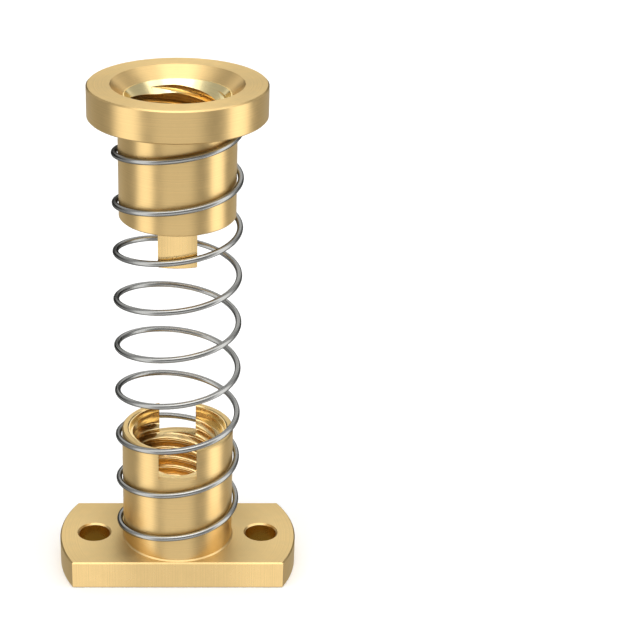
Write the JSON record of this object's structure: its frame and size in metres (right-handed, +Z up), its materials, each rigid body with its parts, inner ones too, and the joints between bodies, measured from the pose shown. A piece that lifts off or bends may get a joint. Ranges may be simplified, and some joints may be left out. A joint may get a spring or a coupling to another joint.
{
  "type": "anti-backlash nut",
  "caption": "Spring-loaded anti-backlash nut: a flanged nut and a follower nut on one lead screw, pushed apart by a compression spring and kept in line by tabs in slots.",
  "frame": {"origin": "on the screw axis at the underside of the flange", "axes": "+Z up the lead screw from the flange to the follower, X along the flange through its two screw holes"},
  "size_m": [0.022, 0.0152, 0.0463],
  "materials": {
    "turned_brass": "fine turned, bright",
    "spring_steel": "drawn wire, satin"
  },
  "bodies": {
    "base": {"flange_nut": "turned_brass", "spring": "spring_steel"},
    "follower": {"follower_nut": "turned_brass"}
  },
  "joints": [
    {"name": "preload_slide", "type": "slide", "parent": "base", "child": "follower", "axis": [0, 0, 1], "range_m": [-0.0204, 0], "stiffness_N_per_m": 65, "springref_m": 0.0008, "deforming": ["spring"]}
  ]
}
